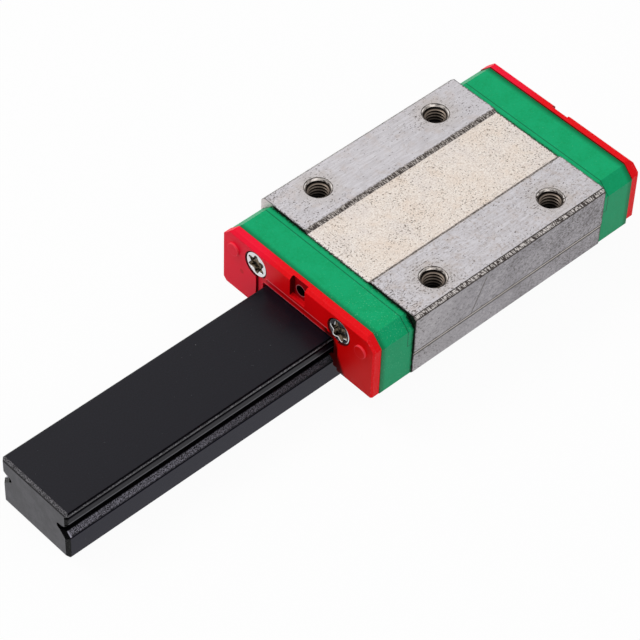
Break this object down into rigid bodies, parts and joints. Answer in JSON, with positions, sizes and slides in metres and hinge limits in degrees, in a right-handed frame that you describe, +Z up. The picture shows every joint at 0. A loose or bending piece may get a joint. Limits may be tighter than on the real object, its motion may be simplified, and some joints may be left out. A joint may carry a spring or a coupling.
{
  "type": "linear guide carriage",
  "caption": "Miniature linear guide carriage with steel block, end caps and end seals, sliding on a short plastic dummy rail.",
  "frame": {"origin": "middle of the carriage, on the dummy rail's base", "axes": "+X along the rail to its far end, +Y to the carriage's left side seen from the rail's long end, +Z up"},
  "size_m": [0.086, 0.027, 0.013],
  "materials": {
    "black_plastic": "satin moulded",
    "ground_steel": "finely ground",
    "green_plastic": "satin moulded",
    "red_plastic": "satin moulded",
    "screw_steel": "bright turned",
    "ball_steel": "polished",
    "wire_steel": "drawn"
  },
  "bodies": {
    "rail": {"dummy_rail": "black_plastic"},
    "carriage": {"carriage_block": "ground_steel", "end_cap_front": "green_plastic", "end_cap_rear": "green_plastic", "return_plate_front": "green_plastic", "return_plate_rear": "green_plastic", "end_seal_front": "red_plastic", "end_seal_rear": "red_plastic", "cap_screw_front_left": "screw_steel", "cap_screw_front_right": "screw_steel", "cap_screw_rear_left": "screw_steel", "cap_screw_rear_right": "screw_steel", "load_balls_left": "ball_steel", "return_balls_left": "ball_steel", "load_balls_right": "ball_steel", "return_balls_right": "ball_steel", "turn_balls_front_left": "ball_steel", "turn_balls_front_right": "ball_steel", "turn_balls_rear_left": "ball_steel", "turn_balls_rear_right": "ball_steel", "ball_wire_left": "wire_steel", "ball_wire_right": "wire_steel"}
  },
  "joints": [
    {"name": "carriage_slide", "type": "slide", "parent": "rail", "child": "carriage", "axis": [1, 0, 0], "range_m": [-0.0403, 0]}
  ]
}
